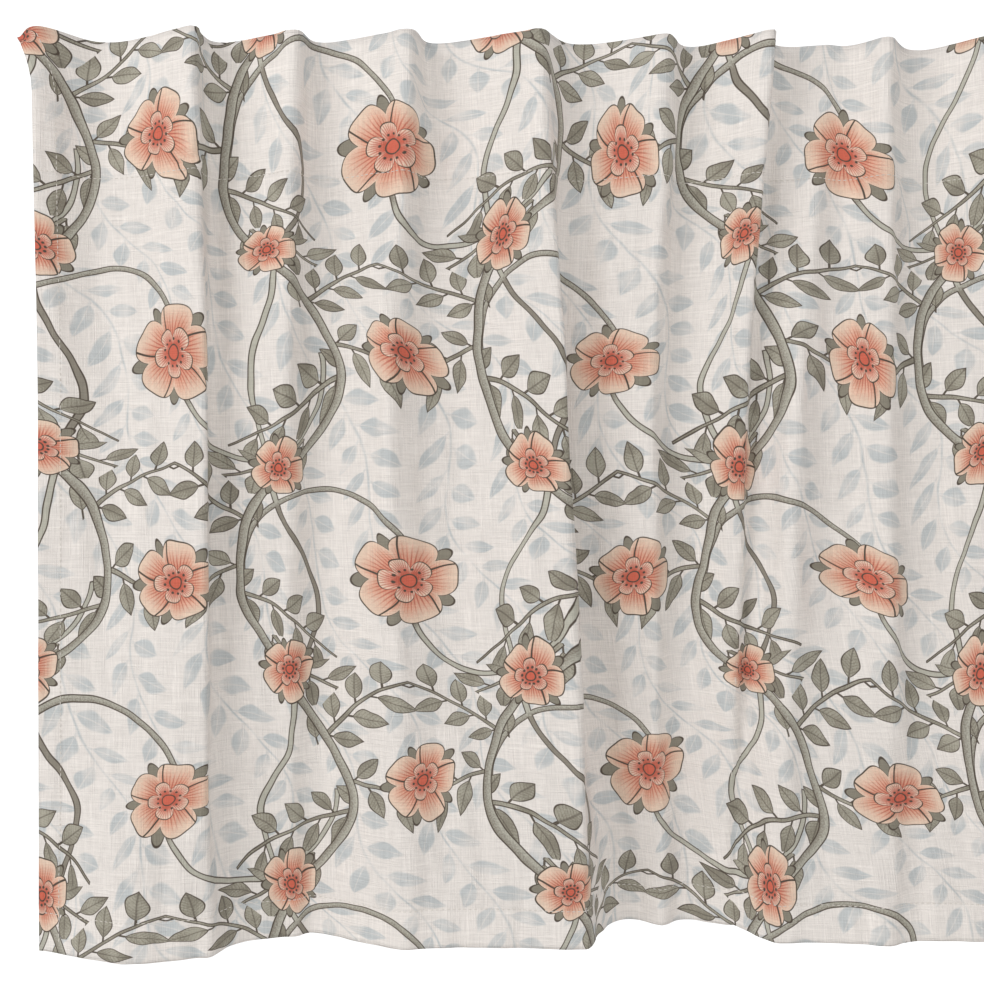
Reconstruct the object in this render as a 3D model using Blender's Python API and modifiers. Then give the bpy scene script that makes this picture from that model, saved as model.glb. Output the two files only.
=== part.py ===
"""A gathered window valance, as it hangs.

Metres, +Z up. The origin is the middle of the top edge, the room is on the -Y side,
and the cloth hangs down from z = 0. It is one piece of light cloth whose heading,
bottom hem and side hems are turned over and stitched.
"""

import bpy
import numpy as np

# Sizes of the made valance
DROP = 0.500  # top edge to hem edge
FLAT_WIDTH = 1.220  # across the cloth before it is gathered
HUNG_WIDTH = 1.060  # across the folds
HEADING = 0.075  # turned heading, top edge to its stitching
HEM = 0.021  # turned hem, hem edge to its stitching
SIDE_HEM = 0.012  # narrow hem down each side

# Cloth
SINGLE_CLOTH = 0.0013
TURNED_CLOTH = 0.0023

# Fineness of the sheet
COLUMNS = 160
STEP = 0.003  # over how much height the turned cloth thins to its stitching
ROW_RUNS = (  # how far down each run of rows ends, and its rows
    (HEADING - STEP, 3),
    (HEADING, 1),
    (DROP - HEM, 9),
    (DROP - HEM + STEP, 1),
    (DROP, 2),
)
STEPS_PER_FOLD = 48  # points along one fold before they are evened out
FULLNESS_RANGE = (0.3, 3.0)  # how full the folds may be made, against their tables
HALVINGS = 40
NEAR = 1e-6  # rows this close count as level

# How the cloth hangs. Each row is a fold, from the left side hem, in millimetres:
# crest_x and crest_y, where its crest stands (+y is away from the room),
# valley_y, how far back the valley on its right lies, and lean, how far the crest
# overhangs that valley to the right.
HALF_WIDTH = HUNG_WIDTH / 2
MIDDLE = 0.200  # distance below the top edge of the middle table
TOP_FOLDS = (
    # crest_x, crest_y, valley_y, lean
    (0, -14, 6, 4),
    (87, -14, 5, 8.5),
    (143, -10, 5, 9),
    (205, -11, 6, 11),
    (274, -11, 7, 7),
    (345, -6, 10, 7),
    (402, -10, 7, 7),
    (434, 6, 7, 1),
    (467, -2, 14, 6),
)
MIDDLE_FOLDS = (
    # crest_x, crest_y, valley_y, lean
    (1, -3, 2, 2),
    (93, -9, 5, 8),
    (136, -3, 8, 4),
    (193, -5, 6, 6),
    (290, -9, 10, 12),
    (337, 3, 15, 4),
    (388, 2, 10, 3.5),
    (417, -3, 6, 2),
    (466, -1, 9, 6),
)
HEM_FOLDS = (
    # crest_x, crest_y, valley_y, lean
    (1, 0, -8, 0),
    (93, -7, 4, 2.5),
    (138, 14, 12, 3),
    (200, 1, 2, 3),
    (301, 1, 21, 1.5),
    (345, 26, 29, 1),
    (382, 26, 19, 1),
    (408, 7, 7, 2),
    (469, 5, 8, 3),
)
SECOND_HALF_CREST = 0.6  # the right half repeats the left, its crests this much lower
SECOND_HALF_BACK = 0.008  # and its hem this much further back
VALLEY_WIDTH = 0.72  # below 1, the valleys are wider than the crests

# The top edge stands up where it comes forward, and the hem hangs down there
RISE_FORWARD = 0.25
DROP_FORWARD = 0.30

# The free top corners curl outwards, and a soft lobe stands forward beside them
CORNER_OUT = 0.011
CORNER_ALONG = 0.030  # how far along the top edge the curl reaches
CORNER_DOWN = 0.034  # how far down the curl and the lobe reach
LOBE_FORWARD = 0.009
LOBE_PLACE = 0.020  # along the top edge, from the side
LOBE_ALONG = 0.014  # how far along the top edge the lobe reaches

COLOUR = (0.80, 0.77, 0.74, 1.0)


def clear_scene():
    for found in list(bpy.data.objects):
        bpy.data.objects.remove(found, do_unlink=True)


def collection_for(name):
    collection = bpy.data.collections.new(name)
    bpy.context.scene.collection.children.link(collection)
    return collection


def cloth_material():
    material = bpy.data.materials.new("printed_voile")
    material.use_nodes = True
    shader = material.node_tree.nodes["Principled BSDF"]
    shader.inputs["Base Color"].default_value = COLOUR
    shader.inputs["Roughness"].default_value = 0.9
    shader.inputs["Metallic"].default_value = 0.0
    return material


def half_eased(t):
    """Halfway between a straight ramp and a smooth step."""
    return 0.5 * t + 0.5 * t * t * (3 - 2 * t)


def folds_at(down):
    """The folds of the whole width at a distance below the top edge, in metres."""
    top, middle, hem = (np.array(t) / 1000 for t in (TOP_FOLDS, MIDDLE_FOLDS, HEM_FOLDS))
    if down < MIDDLE:
        left = top + (middle - top) * half_eased(down / MIDDLE)
    else:
        left = middle + (hem - middle) * half_eased((down - MIDDLE) / (DROP - MIDDLE))
    right = left * (1, SECOND_HALF_CREST, 1, 1)
    right[:, 0] += HALF_WIDTH
    right[:, 1:3] += SECOND_HALF_BACK * down / DROP
    side = left[:1].copy()
    side[0, 0] = HUNG_WIDTH - left[0, 0]
    return np.vstack([left, right, side])


def fold_line(folds, fullness):
    """The sheet's line seen from above: x runs evenly from crest to crest, y dips
    between them as a power of a squared sine, and x is pulled back with the dip so
    that the crest overhangs. fullness scales both the dips and the overhangs."""
    last = len(folds) - 1
    along = np.linspace(0, last, last * STEPS_PER_FOLD + 1)
    fold = np.minimum(along.astype(int), last - 1)
    part = along - fold
    crest_x, crest_y, valley_y, lean = folds[fold].T
    next_x, next_y = folds[fold + 1, :2].T
    well = (0.5 - 0.5 * np.cos(2 * np.pi * part)) ** VALLEY_WIDTH
    dip = valley_y - 0.5 * (crest_y + next_y)
    x = crest_x + (next_x - crest_x) * part - 2 * fullness * lean * well
    y = crest_y + (next_y - crest_y) * (0.5 - 0.5 * np.cos(np.pi * part)) + fullness * dip * well
    return x, y


def length_along(x, y):
    return np.append(0, np.cumsum(np.hypot(np.diff(x), np.diff(y))))


def gathered_line(down, across):
    """x and y of the columns at this depth. The folds are made as full as it takes
    for the line to be as long as the flat cloth, found by halving a range."""
    folds = folds_at(down)
    least, most = FULLNESS_RANGE
    for _ in range(HALVINGS):
        fullness = 0.5 * (least + most)
        x, y = fold_line(folds, fullness)
        length = length_along(x, y)
        if length[-1] < FLAT_WIDTH:
            least = fullness
        else:
            most = fullness
    at = across * length[-1]
    return np.interp(at, length, x), np.interp(at, length, y)


def row_depths():
    """How far below the top edge each row of the sheet is."""
    depths = [0.0]
    for end, rows in ROW_RUNS:
        depths.extend(np.linspace(depths[-1], end, rows + 1)[1:])
    return np.array(depths)


def hung_points(depths, across):
    """Points of the hanging sheet, one row of columns for each depth."""
    points = np.zeros((len(depths), len(across), 3))
    from_side = FLAT_WIDTH * np.minimum(across, 1 - across)
    outwards = np.where(across < 0.5, -1, 1)
    for row, down in enumerate(depths):
        x, y = gathered_line(down, across)
        level = down / DROP
        fade = max(0, 1 - down / CORNER_DOWN) ** 2
        curl = fade * np.exp(-((from_side / CORNER_ALONG) ** 2))
        lobe = fade * np.exp(-(((from_side - LOBE_PLACE) / LOBE_ALONG) ** 2))
        y = y - LOBE_FORWARD * lobe
        points[row, :, 0] = x - HALF_WIDTH + outwards * CORNER_OUT * curl
        points[row, :, 1] = y
        points[row, :, 2] = -down + y * (DROP_FORWARD * level - RISE_FORWARD * (1 - level))
    return points


def turned_share(depths, across):
    """1 where the cloth is turned over, 0 where it is single or stitched down."""
    from_side = FLAT_WIDTH * np.minimum(across, 1 - across)
    turned_rows = (depths < HEADING - NEAR) | (depths > DROP - HEM + NEAR)
    return np.maximum(turned_rows[:, None], (from_side < SIDE_HEM)[None, :]).astype(float)


def valance_cloth(collection, material):
    """A flat grid gathered into its folds, with Solidify for the cloth."""
    depths = row_depths()
    across = np.linspace(0, 1, COLUMNS + 1)
    bpy.ops.mesh.primitive_grid_add(
        x_subdivisions=COLUMNS, y_subdivisions=len(depths) - 1, size=1.0, rotation=(np.pi / 2, 0, 0)
    )
    cloth = bpy.context.active_object
    cloth.name = cloth.data.name = "valance_cloth"
    bpy.ops.object.transform_apply(rotation=True)
    for holder in list(cloth.users_collection):
        holder.objects.unlink(cloth)
    collection.objects.link(cloth)

    count = len(cloth.data.vertices)
    flat = np.empty(count * 3)
    cloth.data.vertices.foreach_get("co", flat)
    flat = flat.reshape(-1, 3)
    column = np.rint((flat[:, 0] + 0.5) * COLUMNS).astype(int)
    row = np.rint((0.5 - flat[:, 2]) * (len(depths) - 1)).astype(int)
    hung = hung_points(depths, across)[row, column]
    cloth.data.vertices.foreach_set("co", hung.ravel())

    turned = cloth.vertex_groups.new(name="turned")
    share = turned_share(depths, across)[row, column]
    turned.add([int(i) for i in np.flatnonzero(share > 0)], 1.0, "REPLACE")
    thickness = cloth.modifiers.new("Cloth", "SOLIDIFY")
    thickness.thickness = TURNED_CLOTH
    thickness.offset = 0.0
    thickness.vertex_group = turned.name
    thickness.thickness_vertex_group = SINGLE_CLOTH / TURNED_CLOTH
    cloth.data.shade_smooth()
    cloth.data.materials.append(material)
    cloth.data.update()
    return cloth


def main():
    clear_scene()
    collection = collection_for("Window_valance")
    valance_cloth(collection, cloth_material())


main()
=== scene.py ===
# A gathered window valance in light slubbed voile, printed with flowers on a scrolling trellis.
# Metres, +Z up: x runs along the top edge, the room is towards -y, the top edge is z = 0.
from math import cos, pi, radians, sin

import bpy
import numpy as np
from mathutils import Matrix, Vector


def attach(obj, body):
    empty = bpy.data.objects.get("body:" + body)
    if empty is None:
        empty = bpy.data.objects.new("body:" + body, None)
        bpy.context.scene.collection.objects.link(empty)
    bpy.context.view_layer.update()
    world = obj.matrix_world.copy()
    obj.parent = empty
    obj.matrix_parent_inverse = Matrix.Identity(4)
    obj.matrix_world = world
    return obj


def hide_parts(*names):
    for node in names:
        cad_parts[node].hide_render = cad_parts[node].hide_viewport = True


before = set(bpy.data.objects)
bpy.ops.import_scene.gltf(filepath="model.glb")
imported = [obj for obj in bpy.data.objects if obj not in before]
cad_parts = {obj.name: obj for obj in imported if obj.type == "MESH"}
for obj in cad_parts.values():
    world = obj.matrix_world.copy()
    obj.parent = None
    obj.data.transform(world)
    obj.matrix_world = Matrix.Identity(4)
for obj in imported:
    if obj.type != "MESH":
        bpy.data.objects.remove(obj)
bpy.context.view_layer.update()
print("frame loaded")

cloth = {
    "drop": 0.500,  # top edge to hem edge
    "flatWidth": 1.220,  # across the cloth, before it is gathered
    "hungWidth": 1.060,  # across the folds
    "heading": 0.075,  # top edge to the heading's stitching
    "hem": 0.021,  # hem edge to its stitching
    "sideHem": 0.012,
    "turnedUnder": 0.008,  # raw edge folded in at the heading and the hem
    "layer": 0.0005,  # one layer of cloth
    "columns": 600,
    "rowRuns": (  # how far down each run of rows ends, and its rows
        (0.062, 9), (0.0745, 7), (0.0755, 1), (0.090, 8),
        (0.468, 42), (0.4785, 4), (0.4795, 1), (0.500, 7),
    ),
}
hang = {
    "middleDown": 0.200,  # where the middle table holds
    "secondCrest": 0.6,  # the right half repeats the left, its crests this much lower
    "secondBack": 0.008,  # and its hem this much further back
    "riseForward": 0.25,  # the top edge stands up where it comes forward
    "dropForward": 0.30,  # and the hem hangs down there
    "valleyWidth": 0.72,  # below 1, the valleys are wider than the crests
    "cornerOut": 0.011,  # the free top corners curl outwards
    "cornerAlong": 0.030,
    "cornerDown": 0.034,
    "lobeForward": 0.009,  # and a soft lobe stands forward beside them
    "lobePlace": 0.020,
    "lobeAlong": 0.014,
    "tip": (0.0033, 0.0030, -0.0062),  # and the corner's very tip rolls in, back and down
    "tipReach": 0.007,
    "stepsPerFold": 64,
    "fullness": (0.3, 3.0),  # how full the folds may be made, against their tables
    "halvings": 40,
    # a row is a fold, in millimetres: its crest's x and y, how far back the valley on its
    # right lies, and how far the crest overhangs that valley
    "top": (
        (0, -14, 6, 4), (87, -14, 5, 8.5), (143, -10, 5, 9), (205, -11, 6, 11), (274, -11, 7, 7),
        (345, -6, 10, 7), (402, -10, 7, 7), (434, 6, 7, 1), (467, -2, 14, 6),
    ),
    "middle": (
        (1, -3, 2, 2), (93, -9, 5, 8), (136, -3, 8, 4), (193, -5, 6, 6), (290, -9, 10, 12),
        (337, 3, 15, 4), (388, 2, 10, 3.5), (417, -3, 6, 2), (466, -1, 9, 6),
    ),
    "hem": (
        (1, 0, -8, 0), (93, -7, 4, 2.5), (138, 14, 12, 3), (200, 1, 2, 3), (301, 1, 21, 1.5),
        (345, 26, 29, 1), (382, 26, 19, 1), (408, 7, 7, 2), (469, 5, 8, 3),
    ),
}


def runs(table):  # evenly spaced depths between the ends of each run
    depths = [0.0]
    for end, count in table:
        depths.extend(np.linspace(depths[-1], end, count + 1)[1:])
    return np.array(depths)


def halfEased(t):  # halfway between a straight ramp and a smooth step
    return 0.5 * t + 0.5 * t * t * (3 - 2 * t)


# the folds of the whole width, one table for each depth, in metres
def foldsAt(down):
    top, middle, hem = (np.array(hang[name]) / 1000 for name in ("top", "middle", "hem"))
    upper = halfEased(np.clip(down / hang["middleDown"], 0, 1))[:, None, None]
    lower = (down - hang["middleDown"]) / (cloth["drop"] - hang["middleDown"])
    lower = halfEased(np.clip(lower, 0, 1))[:, None, None]
    left = top + (middle - top) * upper + (hem - middle) * lower
    right = left * (1, hang["secondCrest"], 1, 1)
    right[:, :, 0] += cloth["hungWidth"] / 2
    right[:, :, 1:3] += (hang["secondBack"] * down / cloth["drop"])[:, None, None]
    side = left[:, :1].copy()
    side[:, 0, 0] = cloth["hungWidth"] - left[:, 0, 0]
    return np.concatenate([left, right, side], axis=1)


# seen from above: x runs evenly from crest to crest, y dips between them as a power of a squared
# sine, and x is pulled back with it, so that the crest overhangs; fullness scales both
def foldLines(table, fullness):
    last = table.shape[1] - 1
    along = np.linspace(0, last, last * hang["stepsPerFold"] + 1)
    fold = np.minimum(along.astype(int), last - 1)
    part = along - fold
    crestX, crestY, valleyY, lean = np.moveaxis(table[:, fold], 2, 0)
    nextX, nextY = np.moveaxis(table[:, fold + 1, :2], 2, 0)
    well = (0.5 - 0.5 * np.cos(2 * pi * part)) ** hang["valleyWidth"]
    dip = valleyY - 0.5 * (crestY + nextY)
    x = crestX + (nextX - crestX) * part - 2 * fullness * lean * well
    y = crestY + (nextY - crestY) * (0.5 - 0.5 * np.cos(pi * part)) + fullness * dip * well
    return x, y


def lengthsAlong(x, y):
    steps = np.hypot(np.diff(x, axis=1), np.diff(y, axis=1))
    return np.concatenate([np.zeros((len(x), 1)), np.cumsum(steps, axis=1)], axis=1)


# x and y where the flat cloth's columns lie at each depth: every line is made as full as it
# takes to be as long as the flat cloth, by halving a range
def gatheredLines(down, across):
    table = foldsAt(down)
    least, most = (np.full((len(down), 1), limit) for limit in hang["fullness"])
    for _ in range(hang["halvings"]):
        fullness = (least + most) / 2
        x, y = foldLines(table, fullness)
        length = lengthsAlong(x, y)
        short = length[:, -1:] < cloth["flatWidth"]
        least, most = np.where(short, fullness, least), np.where(short, most, fullness)
    lines = [
        (np.interp(across * run[-1], run, rowX), np.interp(across * run[-1], run, rowY))
        for rowX, rowY, run in zip(x, y, length)
    ]
    return np.moveaxis(np.array(lines), 1, 0)


# the middle of the sheet: the gathered lines at their depths, raised or dropped with how far
# forward they come; near the free top corners a Gaussian curl outwards, lobe and rolled tip
def hungSheet(along, down):
    x, y = gatheredLines(down, along / cloth["flatWidth"])
    level = (down / cloth["drop"])[:, None]
    fromSide = np.minimum(along, cloth["flatWidth"] - along)
    outwards = np.where(along < cloth["flatWidth"] / 2, -1, 1)
    fade = np.clip(1 - down / hang["cornerDown"], 0, 1)[:, None] ** 2
    curl = fade * np.exp(-((fromSide / hang["cornerAlong"]) ** 2))
    lobe = fade * np.exp(-(((fromSide - hang["lobePlace"]) / hang["lobeAlong"]) ** 2))
    tip = np.exp(-(fromSide ** 2 + down[:, None] ** 2) / hang["tipReach"] ** 2)
    tipIn, tipBack, tipUp = hang["tip"]
    y = y - hang["lobeForward"] * lobe
    z = -down[:, None] + y * (hang["dropForward"] * level - hang["riseForward"] * (1 - level))
    x = x - cloth["hungWidth"] / 2 + outwards * (hang["cornerOut"] * curl - tipIn * tip)
    return np.stack([x, y + tipBack * tip, z + tipUp * tip], axis=2)


# unit normals towards the room: the cross product of the sheet's two directions
def roomNormals(points):
    normal = np.cross(np.gradient(points, axis=0), np.gradient(points, axis=1))
    normal /= np.linalg.norm(normal, axis=2, keepdims=True)
    return normal


relief = {  # millimetres and degrees
    # soft ripples: height, wave across, wave down, lean across, phase
    "ripples": (
        (0.70, 41, 330, 9, 0.3), (0.65, 27, 210, 6, 1.9),
        (0.45, 17, 150, 4, 4.1), (0.26, 11, 95, 3, 2.6),
    ),
    "swell": (0.4, 5.3, 1.7),  # how unevenly tall they are, over how many waves across and down
    "calm": (30, 0.45),  # they are lower near the top edge: how far down, and to what share
    # creases: along, down, length, angle from straight down, width, depth
    "creases": (
        (47, 84, 60, 6, 3.2, 0.7), (118, 90, 95, -4, 3.0, 0.6), (201, 82, 50, 10, 2.6, 0.6),
        (271, 96, 110, 3, 3.6, 0.8), (335, 86, 70, -8, 3.0, 0.7), (411, 84, 120, 4, 3.4, 0.8),
        (486, 88, 60, -5, 2.8, 0.6), (551, 84, 100, 5, 3.0, 0.7), (635, 90, 90, -3, 3.2, 0.7),
        (705, 84, 80, 6, 2.8, 0.6), (783, 88, 110, -5, 3.4, 0.8), (863, 84, 60, 4, 3.0, 0.7),
        (940, 92, 100, -6, 3.2, 0.7), (1019, 84, 70, 5, 2.8, 0.6), (1098, 88, 110, -4, 3.2, 0.7),
        (159, 300, 150, 4, 4.5, 0.7), (389, 350, 120, -5, 4.0, 0.7), (624, 330, 140, 6, 4.5, 0.8),
        (818, 320, 150, -4, 4.0, 0.7), (1057, 340, 120, 5, 4.2, 0.7),
    ),
    "creaseLip": (0.55, 1.9),  # raised edge beside a crease: share of its depth, widths away
    # soft ridges along the crests, in both halves of the width: the same columns, with height
    "ridges": (
        (96, 0, 190, -3, 5.0, 2.2), (160, 0, 150, -1, 5.0, 2.0), (155, 130, 200, 1, 6.0, 2.0),
        (233, 0, 150, -1.5, 5.0, 2.2), (218, 150, 170, -2, 6.0, 2.0), (319, 0, 130, -2, 6.0, 2.2),
        (316, 200, 310, -0.8, 6.5, 3.4), (394, 0, 80, 0, 5.0, 1.8), (404, 100, 200, 1.5, 4.5, 1.4),
        (464, 0, 120, -3.5, 5.0, 2.0), (454, 150, 330, -5.5, 5.5, 2.6), (493, 170, 270, -6, 9.0, 3.0),
        (546, 0, 150, -0.5, 5.0, 2.0), (542, 250, 120, 0, 6.0, 1.5), (15, 10, 110, -2, 7.0, 1.6),
        (14, 140, 230, 1.5, 8.0, 1.6), (62, 250, 200, 4, 10.0, 1.5), (262, 60, 260, 3, 7.0, 1.0),
        (295, 120, 300, 1, 6.0, 0.8), (365, 30, 260, 2, 8.0, 1.2),
    ),
    # pinches at the heading's stitching: along, down, reach, depth
    "pinches": ((91, 71, 11, 2.4), (462, 73, 9, 1.1), (761, 73, 10, 1.1), (1141, 75, 9, 0.9)),
    "pinchRays": 5,
    "pucker": (0.50, 13.5, 8.5, 1.4),  # height, wave along the stitching, reach, flat beside it
    "groove": (0.35, 1.8),  # depth and half width of the stitched line
}


def ripples(u, v):  # sines that sway and swell, and calm down towards the top edge
    height = np.zeros_like(u)
    swell, wavesAcross, wavesDown = relief["swell"]
    for tall, across, fall, lean, phase in relief["ripples"]:
        sway = lean * np.sin(2 * pi * v / fall + phase * 2.3)
        beat = 2 * pi * (u / (across * wavesAcross) + v / (fall * wavesDown)) + phase
        strength = 1 - swell + swell * np.sin(beat)
        height += tall * strength * np.sin(2 * pi * (u + sway) / across + phase)
    reach, share = relief["calm"]
    return height * (share + (1 - share) * np.clip(v / reach, 0, 1))


# place along and across a straight line that starts at (right, fall), in its lengths and widths
def fromLine(u, v, right, fall, long, angle, wide):
    c, s = cos(radians(angle)), sin(radians(angle))
    du, dv = u - right, v - fall
    return (dv * c + du * s) / long, (du * c - dv * s) / wide


def creases(u, v):  # Gaussian troughs that widen as they run down, each with a lip on its right
    height = np.zeros_like(u)
    lip, lipPlace = relief["creaseLip"]
    for *line, deep in relief["creases"]:
        a, b = fromLine(u, v, *line)
        b = b / (0.7 + 0.6 * np.clip(a, 0, 1))
        ends = np.clip(a * 8, 0, 1) * np.clip((1 - a) * 1.6, 0, 1)
        height -= deep * ends * (np.exp(-b * b) - lip * np.exp(-((b - lipPlace) ** 2)))
    return height


def ridges(u, v):  # Gaussian ridges that rise over a fifth of their length and die out over half
    height = np.zeros_like(u)
    for start in (0, cloth["flatWidth"] * 1000 / 2):
        for right, fall, *line, tall in relief["ridges"]:
            a, b = fromLine(u, v, right + start, fall, *line)
            ends = np.clip(a * 5, 0, 1) if fall else 1
            height += tall * ends * np.clip((1 - a) * 2, 0, 1) ** 2 * np.exp(-b * b)
    return height


def pinches(u, v):  # starred Gaussian dents
    height = np.zeros_like(u)
    for right, fall, reach, deep in relief["pinches"]:
        du, dv = u - right, v - fall
        far = np.hypot(du, dv) / reach
        rays = np.cos(relief["pinchRays"] * np.arctan2(dv, du) + right)
        height -= deep * np.exp(-far * far) * (0.5 + 0.5 * rays * np.clip(far * 3, 0, 1))
    return height


def stitchedLines(u, v):  # a groove at each row of stitching, and short waves that fade from it
    height = np.zeros_like(u)
    tall, wave, reach, flat = relief["pucker"]
    deep, wide = relief["groove"]
    for line in (cloth["heading"] * 1000, (cloth["drop"] - cloth["hem"]) * 1000):
        off = v - line
        near = np.exp(-((off / reach) ** 2)) * (1 - 0.8 * np.exp(-((off / flat) ** 2)))
        uneven = 0.55 + 0.45 * np.sin(2 * pi * u / 83 + 1.1) * np.sin(2 * pi * u / 31)
        height += tall * near * uneven * np.sin(2 * pi * u / wave + 3 * np.sin(2 * pi * u / 190))
        height -= deep * np.exp(-((off / wide) ** 2))
    return height


# height of the small relief towards the room, in metres, on a grid of flat places
def reliefAt(along, down):
    u, v = np.meshgrid(along * 1000, down * 1000)
    parts = (ripples, creases, ridges, pinches, stitchedLines)
    return sum(part(u, v) for part in parts) / 1000


# 1 where the cloth is turned over, 0 where it is single
def turnedOver(along, down):
    fromSide = np.minimum(along, cloth["flatWidth"] - along)
    rows = (down < cloth["heading"]) | (down > cloth["drop"] - cloth["hem"])
    return np.maximum(rows[:, None], (fromSide < cloth["sideHem"])[None, :]).astype(float)


def quads(rows, columns):  # corner numbers of a grid's faces, row by row
    corner = np.arange(rows * columns).reshape(rows, columns)
    corners = [corner[:-1, :-1], corner[1:, :-1], corner[1:, 1:], corner[:-1, 1:]]
    return np.stack(corners, axis=2).reshape(-1, 4)


def meshFrom(name, points, faces):
    mesh = bpy.data.meshes.new(name)
    mesh.from_pydata(points, [], faces)
    mesh.update()
    mesh.shade_smooth()
    piece = bpy.data.objects.new(name, mesh)
    bpy.context.scene.collection.objects.link(piece)
    return piece


# flat places of the back's faces: where the cloth is turned over, the back shows the printed
# side of the part beyond the fold, mirrored about it
def turnedPlaces(corners):
    full = np.array([cloth["flatWidth"], cloth["drop"]])
    first = np.array([cloth["sideHem"], cloth["heading"]])
    last = full - (cloth["sideHem"], cloth["hem"])
    centre = corners.mean(axis=1, keepdims=True)
    return np.where(centre < first, -corners, np.where(centre > last, 2 * full - corners, corners))


# the closed sheet: a front and a back grid, half a layer either side of the middle, the back
# a layer further out where the cloth is turned over, and a strip of faces round the rim
def makeCloth():
    down = runs(cloth["rowRuns"])
    along = np.linspace(0, cloth["flatWidth"], cloth["columns"] + 1)
    middle = hungSheet(along, down)
    normal = roomNormals(middle)
    middle = middle + normal * reliefAt(along, down)[:, :, None]
    normal = roomNormals(middle)
    half = cloth["layer"] / 2
    backing = half + 2 * half * turnedOver(along, down)[:, :, None]
    front, back = middle + normal * half, middle - normal * backing
    rows, columns = len(down), len(along)
    points = np.concatenate([front.reshape(-1, 3), back.reshape(-1, 3)])
    count = rows * columns
    frontFaces = quads(rows, columns)
    corner = np.arange(count).reshape(rows, columns)
    rim = np.concatenate([corner[0, ::-1], corner[1:, 0], corner[-1, 1:], corner[-2:0:-1, -1]])
    follow = np.roll(rim, -1)
    rimFaces = np.stack([rim, follow, follow + count, rim + count], axis=1)
    faces = np.concatenate([frontFaces, frontFaces[:, ::-1] + count, rimFaces[:, ::-1]])
    piece = meshFrom("valanceCloth", points, faces.tolist())
    u, v = np.meshgrid(along, down)
    flat = np.stack([u, v], axis=2).reshape(-1, 2)
    corners = np.concatenate([flat, flat])[faces]
    behind = slice(len(frontFaces), 2 * len(frontFaces))
    corners[behind] = turnedPlaces(corners[behind])
    layer = piece.data.uv_layers.new(name="flat")
    layer.data.foreach_set("uv", corners.ravel())
    reverse = piece.data.attributes.new("reverse", "FLOAT", "POINT")
    shares = np.concatenate([np.zeros(count), 1 - turnedOver(along, down).ravel()])
    reverse.data.foreach_set("value", shares)
    print("cloth made:", len(faces) * 2, "triangles")
    return piece


stitching = {
    "pitch": 0.0030,  # from one stitch to the next
    "long": 0.0022,
    "thread": 0.00046,  # thickness
    "lift": 0.00022,  # how far a stitch stands off the cloth
    "slim": 0.55,  # thickness at a stitch's ends, as a share of its middle's
    "stations": 5,
    "sides": 6,
    "margin": 0.004,  # bare cloth at each end of a row
    "probe": 0.001,  # how far beside the row the cloth's slope is read
    "twists": 2600.0,  # of the thread, a metre
    "shades": ((208, 200, 190), (244, 240, 234)),
    "roughness": 0.7,
}


# stitches along one line of the cloth: each is a tube that rises from the cloth and goes back
# into it as a half sine; across=False runs the line down the cloth instead of along it
def makeStitches(name, line, start, end, across=True):
    centres = np.arange(start, end, stitching["pitch"])
    station = np.linspace(-0.5, 0.5, stitching["stations"])
    run = (centres[:, None] + station * stitching["long"]).ravel()
    beside = line + np.array([-1, 0, 1]) * stitching["probe"]
    along, down = (run, beside) if across else (beside, run)
    middle = hungSheet(along, down)
    middle = middle + roomNormals(middle) * reliefAt(along, down)[:, :, None]
    normal = roomNormals(middle)
    if not across:
        middle, normal = middle.swapaxes(0, 1), normal.swapaxes(0, 1)
    path, out = middle[1], normal[1]
    arch = np.tile(np.cos(pi * station), len(centres))[:, None]
    path = path + out * (cloth["layer"] / 2 + stitching["lift"] * (2 * arch - 1))
    ahead = np.gradient(path, axis=0)
    side = np.cross(ahead, out)
    side /= np.linalg.norm(side, axis=1, keepdims=True)
    turn = np.arange(stitching["sides"]) * 2 * pi / stitching["sides"]
    radius = stitching["thread"] / 2 * (stitching["slim"] + (1 - stitching["slim"]) * arch)
    ring = out[:, None] * np.cos(turn)[:, None] + side[:, None] * np.sin(turn)[:, None]
    points = (path[:, None] + ring * radius[:, :, None]).reshape(-1, 3)
    stations, sides = stitching["stations"], stitching["sides"]
    j, i = np.meshgrid(np.arange(sides), np.arange(stations - 1))
    nextJ = (j + 1) % sides
    tube = np.stack([i * sides + j, i * sides + nextJ, (i + 1) * sides + nextJ, (i + 1) * sides + j], 2)
    first = np.arange(len(centres))[:, None] * stations * sides
    tubes = (tube.reshape(1, -1, 4) + first[:, :, None]).reshape(-1, 4)
    cap = np.arange(sides)
    ends = np.concatenate([first + cap[::-1], first + (stations - 1) * sides + cap])
    print(name, len(centres), "stitches")
    return meshFrom(name, points, tubes[:, ::-1].tolist() + ends[:, ::-1].tolist())


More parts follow.
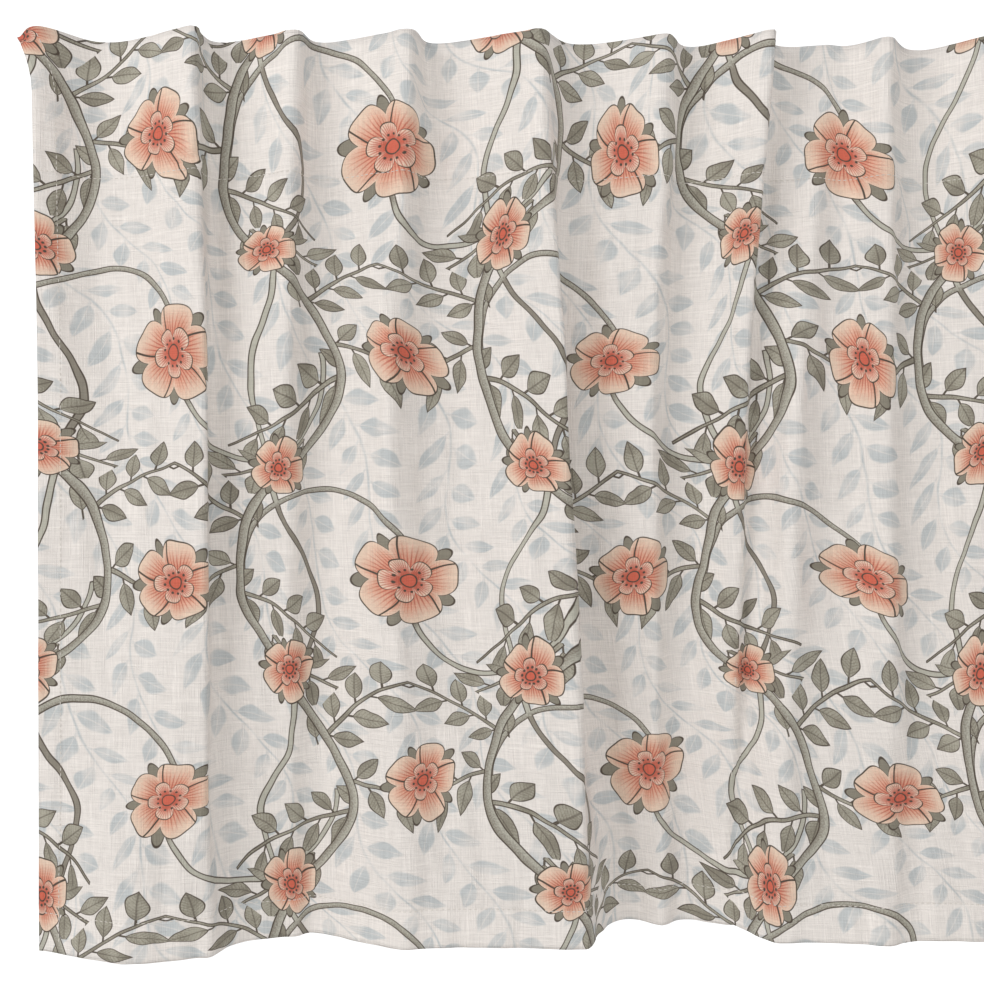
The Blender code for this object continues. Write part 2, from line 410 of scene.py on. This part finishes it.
class Finish:  # one material and the single way to add a node to it
    def __init__(self, name):
        self.material = bpy.data.materials.new(name)
        self.material.use_nodes = True
        self.tree = self.material.node_tree
        self.shader = self.tree.nodes["Principled BSDF"]

    def node(self, kind, settings=None, sockets=None):
        made = self.tree.nodes.new(kind)
        for name, setting in (settings or {}).items():
            setattr(made, name, setting)
        for name, value in (sockets or {}).items():
            self.feed(made.inputs[name], value)
        return made

    def feed(self, socket, value):
        if isinstance(value, Number):
            self.tree.links.new(value.socket, socket)
        else:
            socket.default_value = value

    def output(self, kind, settings=None, sockets=None, name=0):
        return Number(self, self.node(kind, settings, sockets).outputs[name])

    def noise(self, x, y, detail=0.0):  # soft random numbers that change over one unit of x and y
        place = self.output("ShaderNodeCombineXYZ", None, {0: x, 1: y})
        sockets = {"Vector": place, "Scale": 1.0, "Detail": detail}
        return self.node("ShaderNodeTexNoise", {"noise_dimensions": "2D"}, sockets).outputs

    def random(self, x, y, detail=0.0):  # one number, mostly -1 to 1
        return Number(self, self.noise(x, y, detail)["Fac"]).scaledPlus(4, -2)

    def randomPair(self, x, y):
        noise = Number(self, self.noise(x, y)["Color"])
        parts = self.node("ShaderNodeSeparateColor", None, {0: noise})
        return [Number(self, part).scaledPlus(4, -2) for part in parts.outputs[:2]]


class Number:  # a number that varies over a material: Python arithmetic on it adds Math nodes
    def __init__(self, finish, socket):
        self.finish, self.socket = finish, socket

    def math(self, operation, *values):
        made = self.finish.node("ShaderNodeMath", {"operation": operation}, dict(enumerate(values)))
        return Number(self.finish, made.outputs[0])

    def __add__(self, other):
        return self.math("ADD", self, other)

    def __sub__(self, other):
        return self.math("SUBTRACT", self, other)

    def __rsub__(self, other):
        return self.math("SUBTRACT", other, self)

    def __mul__(self, other):
        return self.math("MULTIPLY", self, other)

    def __truediv__(self, other):
        return self.math("DIVIDE", self, other)

    def __mod__(self, other):
        return self.math("FLOORED_MODULO", self, other)

    def __lt__(self, other):
        return self.math("LESS_THAN", self, other)

    def __gt__(self, other):
        return self.math("GREATER_THAN", self, other)

    def __abs__(self):
        return self.math("ABSOLUTE", self)

    __radd__ = __add__
    __rmul__ = __mul__

    def sin(self):
        return self.math("SINE", self)

    def cos(self):
        return self.math("COSINE", self)

    def sqrt(self):
        return self.math("SQRT", self)

    def atan2(self, other):
        return self.math("ARCTAN2", self, other)

    def least(self, other):
        return self.math("MINIMUM", self, other)

    def most(self, other):
        return self.math("MAXIMUM", self, other)

    def wrap(self, low, high):  # brought between two ends by whole steps
        return self.math("WRAP", self, high, low)

    def pingPong(self, reach):  # up to the reach and back again, over and over
        return self.math("PINGPONG", self, reach)

    def scaledPlus(self, scale, other):
        return self.math("MULTIPLY_ADD", self, scale, other)

    def far(self, other):  # the length of a vector with these two sides
        both = self.finish.output("ShaderNodeCombineXYZ", None, {0: self, 1: other})
        return self.finish.output("ShaderNodeVectorMath", {"operation": "LENGTH"}, {0: both}, "Value")

    def ramp(self, low, high):  # a smooth step from 0 at low to 1 at high
        settings = {"interpolation_type": "SMOOTHSTEP"}
        made = self.finish.node("ShaderNodeMapRange", settings, {0: self, 1: low, 2: high})
        return Number(self.finish, made.outputs[0])

    def choose(self, one, other):  # one where this number is 1, the other where it is 0
        made = self.finish.node("ShaderNodeMix", {"data_type": "FLOAT"}, {0: self, 2: other, 3: one})
        return Number(self.finish, made.outputs[0])

    def blend(self, under, over):  # a colour laid over another by this share
        made = self.finish.node("ShaderNodeMix", {"data_type": "RGBA"}, {0: self, 6: under, 7: over})
        return Number(self.finish, made.outputs[2])


def tint(red, green, blue):  # a screen colour, 0 to 255, as the light it stands for
    shades = np.array([red, green, blue]) / 255
    shades = np.where(shades > 0.04045, ((shades + 0.055) / 1.055) ** 2.4, shades / 12.92)
    return (*shades.tolist(), 1.0)


printed = {  # millimetres on the flat cloth
    "wide": 150.0,  # from one column of the repeat to the next
    "tall": 236.0,  # down the repeat; each column is dropped by half of it
    "drift": (80.0, 6.0),  # scale and reach of the hand-drawn unevenness
    "wobble": (14.0, 0.35),
    "ground": tint(238, 231, 225),
    "shadow": tint(200, 203, 203),
    "stemDark": tint(146, 139, 127),
    "stemLight": tint(190, 187, 174),
    "leafDark": tint(142, 136, 122),
    "leafLight": tint(176, 171, 156),
    "ink": tint(86, 76, 66),
    "cream": tint(235, 209, 188),
    "peach": tint(224, 166, 141),
    "coral": tint(211, 106, 85),
    "vein": tint(190, 98, 80),
    # each row is a blossom in the repeat: across, down, half its width, half its height
    "blossoms": ((75, -59, 27, 24), (75, 59, 22, 23), (2, -6, 18, 17), (-4, 112, 17, 19)),
    # each row is a twig: its foot across and down from a stem, angle, length and bend
    "twigs": (
        (-31, -45, 12, 72, 16), (-12, -22, 38, 60, -12), (-34, -62, 168, 46, -10), (24, 28, -38, 66, 14),
    ),
    "twigReach": 17,
    # the stems swing from side to side: reach, phase, unevenness
    "mainStem": (34, 0, 3),
    "secondStem": (19, 2.5, -3),
    "secondHalf": 1.6,  # half the second stem's width
    # half rings: middle across and down, radius, angle of the open side, half the stem's width
    "shoots": ((26, -52, 57, -90, 1.7), (124, -58, 50, 90, 1.5)),
    "leafWay": (0.62, 0.785),  # the way leaves point: along the twig and away from it
    # spacing along the twig, length, half width and stalk
    "leaf": {"pitch": 17.5, "long": 17, "slim": 4.7, "stalk": 3.6},
    "shadowLeaf": {"pitch": 17, "long": 19, "slim": 4.3, "stalk": 3},
    "shadowVine": {"angle": 66, "apart": 43, "sway": 9, "swing": 130, "half": 0.6},
    "petals": 5,
    "stamens": 12,
}


# place in a half-drop repeat with a cell centred at (right, down), and a chance number per cell
def halfDrop(u, v, right, down):
    wide, tall = printed["wide"], printed["tall"]
    across = u - right
    x = across.wrap(-wide / 2, wide / 2)
    column = (across - x) / wide
    fall = column.scaledPlus(tall / 2, v - down)
    y = fall.wrap(-tall / 2, tall / 2)
    return x, y, (column * 0.37 + (fall - y) * (0.619 / tall)) % 1


def turned(x, y, angle):
    c, s = cos(radians(angle)), sin(radians(angle))
    return x.scaledPlus(c, y * s), y.scaledPlus(c, x * -s)


# signed distance to a stem that swings from side to side: x less a sine of y, over its slope
def wave(x, y, reach, phase, extra):
    a = y.scaledPlus(2 * pi / printed["tall"], phase)
    slope = a.cos() * (reach * 2 * pi / printed["tall"])
    line = a.sin().scaledPlus(-reach, x) - (a * 3 + 1).sin() * extra
    return line / (slope * slope + 1).sqrt()


# signed distances to a half ring's middle line, and to its stem without the open side
def halfRing(u, v, right, down, radius, openAngle, half):
    x, y, _ = halfDrop(u, v, right, down)
    c, s = cos(radians(openAngle)), sin(radians(openAngle))
    ring = x.far(y) - radius
    return ring, (abs(ring) - half).most(x * -c - y * s)


def nearest(rows):  # of several rows of numbers, the one whose first number is least
    best = rows[0]
    for row in rows[1:]:
        near = row[0] < best[0]
        best = [near.choose(new, old) for new, old in zip(row, best)]
    return best


# place along and beside the nearest of several bent twigs, and its length; the twigs stand on the
# stem of a half-drop repeat whose lower half is turned over onto its upper half
def nearestTwig(u, v):
    wide, tall = printed["wide"], printed["tall"]
    x = u.wrap(-wide / 2, wide / 2)
    fall = (u - x).scaledPlus(tall / 2 / wide, v)
    found = []
    for right, down, angle, long, bend in printed["twigs"]:
        middle = down + sin(radians(angle)) * long / 2
        shift = fall - middle
        y = shift.wrap(-tall / 4, tall / 4)
        side = ((shift - y) * (2 * pi / tall)).cos()
        a, b = turned(x.scaledPlus(side, -right), y + (middle - down), angle)
        b = (a * a).scaledPlus(-bend / long ** 2, b)
        key = (abs(a - long / 2) * (2 / long)).most(abs(b) / printed["twigReach"])
        found.append([key, a, b, long])
    return nearest(found)[1:]


# leaves on alternate sides of a twig along a: signed distances to the leaves and their stalks,
# the place p along and q beside each leaf, and where on the twig each leaf stands; a leaf's half
# width is a parabola of p, a little uneven
def leaves(a, b, tone, kind):
    pitch, long, slim, stalk = (kind[name] for name in ("pitch", "long", "slim", "stalk"))
    onwards, outwards = printed["leafWay"]
    shifted = (b < 0).scaledPlus(pitch / 2, a)
    run = shifted.wrap(-0.12 * pitch, 0.88 * pitch)
    side = abs(b)
    p = run.scaledPlus(onwards, side * outwards - stalk)
    q = abs(run.scaledPlus(-outwards, side * onwards))
    t = p / long
    leaf = q - t * (1 - t) * t.scaledPlus(-2 * slim, 4.8 * slim) * tone.scaledPlus(0.18, 1)
    leaf = leaf.most(abs(p - long / 2) - long / 2)
    return leaf, (q - 0.4).most(abs(p + stalk / 2) - stalk / 2), p, q, shifted - run


# pale leafy vines behind the trellis: parallel lines that sway as a sine
def shadowLeaves(u, v, tone, colour):
    vine = printed["shadowVine"]
    a, b = turned(u, v, vine["angle"])
    b = (a * (2 * pi / vine["swing"])).sin().scaledPlus(vine["sway"], b)
    beside = b.wrap(-vine["apart"] / 2, vine["apart"] / 2)
    along = (b - beside).scaledPlus(0.3, a)
    leaf, stalk, _, q, _ = leaves(along, beside, tone, printed["shadowLeaf"])
    d = leaf.least(stalk).least(abs(beside) - vine["half"])
    share = d.ramp(0.7, -0.9) * q.ramp(-0.6, 0.7) * (tone * 0.5 + 0.75)
    return share.blend(colour, printed["shadow"])


# the trellis: a main stem, a second one that winds round it, and two half rings for shoots
def stems(u, v, grain, colour):
    x, y, _ = halfDrop(u, v, 0, 0)
    main, second = (wave(x, y, *printed[name]) for name in ("mainStem", "secondStem"))
    (ring, fine), (_, other) = (halfRing(u, v, *row) for row in printed["shoots"])
    fine = fine.least(other).least(abs(second) - printed["secondHalf"])
    colour = fine.ramp(0.3, 0).blend(colour, printed["ink"])
    lit = ring.least(9).scaledPlus(0.25, grain.scaledPlus(0.4, 0.5))
    lit = lit.blend(printed["stemDark"], printed["stemLight"])
    return main, fine.ramp(-0.3, -0.6).blend(colour, lit)


def mainStem(main, grain, colour):
    half = abs(main)
    colour = half.ramp(2.9, 2.6).blend(colour, printed["ink"])
    lit = main.scaledPlus(0.23, grain.scaledPlus(0.4, 0.5))
    lit = lit.blend(printed["stemDark"], printed["stemLight"])
    return half.ramp(2.25, 1.9).blend(colour, lit)


def twigs(u, v, grain, tone, colour):
    a, b, length = nearestTwig(u, v)
    leaf, stalk, p, q, foot = leaves(a, b, tone, printed["leaf"])
    half = length / 2
    twig = (abs(b) - a.scaledPlus(-0.009, 1.25)).most(abs(a - half) - half)
    green = leaf.least(stalk).most(abs(foot - half + 3) - half).least(twig)
    colour = green.ramp(0.3, 0).blend(colour, printed["ink"])
    hatch = q.scaledPlus(-0.8, p).pingPong(0.95).ramp(0.45, 0.1)
    fill = hatch.scaledPlus(-0.5, tone * 0.6 + grain.scaledPlus(0.35, 0.55))
    fill = fill.blend(printed["leafDark"], printed["leafLight"])
    rib = q.ramp(0.55, 0.15) * leaf.ramp(-0.2, -0.4) * 0.55
    return green.ramp(-0.25, -0.55).blend(colour, rib.blend(fill, printed["ink"]))


# five-petalled blossoms seen face on: r is the distance from the middle over the blossom's half
# size, and a petal's edge is 1 - 2.6 k cubed, k being the share of a turn from its middle line
def blossoms(u, v, grain, colour):
    found = []
    for right, down, halfWide, halfTall in printed["blossoms"]:
        x, y, chance = halfDrop(u, v, right, down)
        x, y = x / halfWide, y / halfTall
        found.append([x.far(y), x, y, chance, (halfWide + halfTall) / 2])
    r, x, y, chance, size = nearest(found)
    angle = y.atan2(x) + chance * 6.3
    uneven = (angle * 2 + 1.3).sin() + chance.scaledPlus(19, angle * 3).sin()
    r = r / uneven.scaledPlus(0.05, 1)
    fan = angle * (printed["petals"] / (2 * pi))
    k = fan.wrap(-0.5, 0.5)
    off = abs(k)
    rho = r / ((off * 9).cos().scaledPlus(-0.03, 1) - off * off * off * 2.6)
    d = (rho - 1) * size
    line = r * size * (2 * pi / printed["petals"])  # the width of a petal here
    lap = r.scaledPlus(-0.25, fan + 0.5).pingPong(0.5) * line
    between = 0.5 - off
    sepal = ((between * between).scaledPlus(14, r) - 1.08) * size * 0.6
    colour = sepal.ramp(0.5, 0.2).blend(colour, printed["ink"])
    colour = sepal.ramp(-0.2, -0.5).blend(colour, printed["leafDark"])
    colour = d.ramp(0.4, 0.1).blend(colour, printed["ink"])
    shade = off.scaledPlus(-0.35, grain.scaledPlus(0.06, rho))
    fill = shade.ramp(0.05, 0.55).blend(printed["coral"], printed["peach"])
    fill = shade.ramp(0.4, 0.95).blend(fill, printed["cream"])
    colour = d.ramp(-0.3, -0.6).blend(colour, fill)
    veins = (k * off * rho).scaledPlus(9, fan * 8).pingPong(0.5) * line * 0.125
    strength = veins.ramp(0.55, 0.15) * rho.ramp(0.97, 0.4) * d.ramp(0, -1.5) * 0.85
    colour = strength.blend(colour, printed["vein"])
    colour = (lap.ramp(0.6, 0.3) * d.ramp(0.1, -0.2)).blend(colour, printed["ink"])
    inner = r / (between * between * between).scaledPlus(-4, 1) * 2
    d = (inner - 1) * size * 0.5
    colour = d.ramp(0.35, 0.05).blend(colour, printed["ink"])
    fill = grain.scaledPlus(0.1, inner.ramp(0.3, 1)).blend(printed["coral"], printed["cream"])
    colour = d.ramp(-0.3, -0.6).blend(colour, fill)
    colour = (veins.ramp(0.5, 0.1) * d.ramp(0, -1) * 0.7).blend(colour, printed["vein"])
    eye = (r - 0.15) * size
    colour = eye.ramp(0.3, 0).blend(colour, printed["ink"])
    colour = eye.ramp(-0.4, -0.8).blend(colour, printed["coral"])
    stamens, ring = printed["stamens"] / (2 * pi), 0.25
    dots = (angle * stamens).pingPong(0.5) * (ring / stamens)
    return (dots.far(r - ring) * size).ramp(0.9, 0.5).blend(colour, printed["ink"])


def printColour(u, v, grain, tone):
    colour = shadowLeaves(u, v, tone, printed["ground"])
    main, colour = stems(u, v, grain, colour)
    colour = twigs(u, v, grain, tone, colour)
    colour = mainStem(main, grain, colour)
    return blossoms(u, v, grain, colour)


weave = {  # millimetres
    "yarn": 0.5,
    "run": 13.0,  # how far a yarn keeps its thickness
    "shade": 0.035,
    "slub": 0.9,  # width of a thick yarn
    "slubRun": 34.0,
    "slubFrom": (0.35, 0.9),  # how rare the thick yarns are
    "slubShade": 0.06,
    "slubDepth": 1.5,  # against a plain yarn's
    "depth": 0.00012,  # metres
    "bump": 0.6,
    "grain": 0.9,  # scale of the print's speckle
    "tone": 14.0,  # and of its slow change of strength
    "reversePale": 0.45,  # how much of the print is lost on the back
    "doubled": 1.025,  # turned cloth lets less light through
    "roughness": 0.88,
    "gloss": 0.25,
    "sheen": 0.12,
}


# the printed cloth: the print on slightly warped places, lit and darkened by yarns and slubs
def voile():
    finish = Finish("printedVoile")
    flat = finish.output("ShaderNodeUVMap", {"uv_map": "flat"})
    parts = finish.node("ShaderNodeSeparateXYZ", None, {0: flat})
    u, v = (Number(finish, part) * 1000 for part in parts.outputs[:2])
    reverse = finish.output("ShaderNodeAttribute", {"attribute_name": "reverse"}, None, "Fac")
    scale, reach = printed["drift"]
    driftU, driftV = finish.randomPair(u / scale, v / scale)
    fineScale, fineReach = printed["wobble"]
    wobbleU, wobbleV = finish.randomPair(u / fineScale, v / fineScale)
    x = driftU.scaledPlus(reach, wobbleU.scaledPlus(fineReach, u))
    y = driftV.scaledPlus(reach, wobbleV.scaledPlus(fineReach, v))
    grain = finish.random(u / weave["grain"], v / weave["grain"], 1.0)
    tone = finish.random(u / weave["tone"], v / weave["tone"], 1.0)
    colour = printColour(x, y, grain, tone)
    colour = (reverse * weave["reversePale"]).blend(colour, printed["ground"])
    warp = finish.random(u / weave["yarn"], v / weave["run"])
    weft = finish.random(u / weave["run"], v / weave["yarn"])
    thickWarp = finish.random(u / weave["slub"], v / weave["slubRun"]).ramp(*weave["slubFrom"])
    thickWeft = finish.random(u / weave["slubRun"], v / weave["slub"]).ramp(*weave["slubFrom"])
    yarns, slubs = warp + weft, thickWarp + thickWeft
    light = yarns.scaledPlus(weave["shade"], slubs.scaledPlus(weave["slubShade"], 1))
    doubled = (v < cloth["heading"] * 1000).most(v > (cloth["drop"] - cloth["hem"]) * 1000)
    light = light * doubled.scaledPlus(weave["doubled"] - 1, 1)
    colour = finish.output("ShaderNodeVectorMath", {"operation": "SCALE"}, {0: colour, "Scale": light})
    height = slubs.scaledPlus(weave["slubDepth"], yarns)
    bump = {"Height": height, "Strength": weave["bump"], "Distance": weave["depth"]}
    finish.feed(finish.shader.inputs["Base Color"], colour)
    finish.feed(finish.shader.inputs["Normal"], finish.output("ShaderNodeBump", None, bump))
    finish.feed(finish.shader.inputs["Roughness"], weave["roughness"])
    finish.feed(finish.shader.inputs["Specular IOR Level"], weave["gloss"])
    finish.feed(finish.shader.inputs["Sheen Weight"], weave["sheen"])
    print("printed voile:", len(finish.tree.nodes), "nodes")
    return finish.material


def threadFinish():
    finish = Finish("stitchThread")
    place = finish.output("ShaderNodeTexCoord", None, None, "Object")
    sockets = {"Vector": place, "Scale": stitching["twists"], "Detail": 1.0}
    twist = finish.output("ShaderNodeTexNoise", None, sockets, "Fac")
    shade = twist.blend(*(tint(*shade) for shade in stitching["shades"]))
    finish.feed(finish.shader.inputs["Base Color"], shade)
    finish.feed(finish.shader.inputs["Roughness"], stitching["roughness"])
    return finish.material


valance = makeCloth()
valance.data.materials.append(voile())
stitchEnds = (stitching["margin"], cloth["flatWidth"] - stitching["margin"])
dropEnds = (stitching["margin"], cloth["drop"] - stitching["margin"])
thread = threadFinish()
rows = [
    makeStitches("headingStitches", cloth["heading"], *stitchEnds),
    makeStitches("hemStitches", cloth["drop"] - cloth["hem"], *stitchEnds),
    makeStitches("leftStitches", cloth["sideHem"], *dropEnds, across=False),
    makeStitches("rightStitches", cloth["flatWidth"] - cloth["sideHem"], *dropEnds, across=False),
]
for row in rows:
    row.data.materials.append(thread)
    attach(row, "root")
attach(valance, "root")
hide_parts("valance_cloth")

studio = {
    "floorDown": -1.45,
    "floorHalf": 4.0,
    "wallBack": 3.2,  # the lit backdrop
    "wallHalf": 2.4,
    "floorColour": (0.86, 0.86, 0.85, 1.0),
    "floorRoughness": 0.75,
    "wallColour": (0.9, 0.9, 0.9, 1.0),
    "wallGlow": 0.6,
    # each light: place, size, watts
    "key": ((-2.0, -1.3, 0.6), 1.4, 23),
    "fill": ((0.7, -2.4, 0.4), 1.6, 15),
    "aim": (-0.15, 0, -0.25),
    "world": 0.48,
    "camera": (-0.2806, -1.0, -0.2484),
    "lens": 66.7,
    "film": 36.0,  # width
}


def makePlate(name, corners, material):  # one flat square of the stage
    plate = meshFrom(name, corners, [(0, 1, 2, 3)])
    plate.data.materials.append(material)


def paleFloor():
    finish = Finish("paleFloor")
    finish.feed(finish.shader.inputs["Base Color"], studio["floorColour"])
    finish.feed(finish.shader.inputs["Roughness"], studio["floorRoughness"])
    return finish.material


def litWall():
    finish = Finish("litWall")
    finish.feed(finish.shader.inputs["Base Color"], studio["wallColour"])
    finish.feed(finish.shader.inputs["Emission Color"], (1.0, 1.0, 1.0, 1.0))
    finish.feed(finish.shader.inputs["Emission Strength"], studio["wallGlow"])
    return finish.material


def makeLight(name, place, size, watts):
    lamp = bpy.data.lights.new(name, "AREA")
    lamp.size = size
    lamp.energy = watts
    holder = bpy.data.objects.new(name, lamp)
    holder.location = place
    aim = Vector(studio["aim"]) - Vector(place)
    holder.rotation_euler = aim.to_track_quat("-Z", "Y").to_euler()
    bpy.context.scene.collection.objects.link(holder)


def makeCamera():
    lens = bpy.data.cameras.new("camera")
    lens.lens = studio["lens"]
    lens.sensor_width = studio["film"]
    camera = bpy.data.objects.new("camera", lens)
    camera.location = studio["camera"]
    camera.rotation_euler = (pi / 2, 0, 0)
    bpy.context.scene.collection.objects.link(camera)
    bpy.context.scene.camera = camera


def makeStudio():
    half, down = studio["floorHalf"], studio["floorDown"]
    corners = [(-half, -half, down), (half, -half, down), (half, half, down), (-half, half, down)]
    makePlate("floor", corners, paleFloor())
    half, back = studio["wallHalf"], studio["wallBack"]
    corners = [(-half, back, down), (half, back, down), (half, back, half), (-half, back, half)]
    makePlate("backdrop", corners, litWall())
    makeLight("keyLight", *studio["key"])
    makeLight("fillLight", *studio["fill"])
    world = bpy.data.worlds.new("studio")
    world.use_nodes = True
    light = world.node_tree.nodes["Background"].inputs
    light["Color"].default_value = (1.0, 1.0, 1.0, 1.0)
    light["Strength"].default_value = studio["world"]
    bpy.context.scene.world = world
    bpy.context.scene.view_settings.view_transform = "Standard"


makeStudio()
makeCamera()
print("studio set")
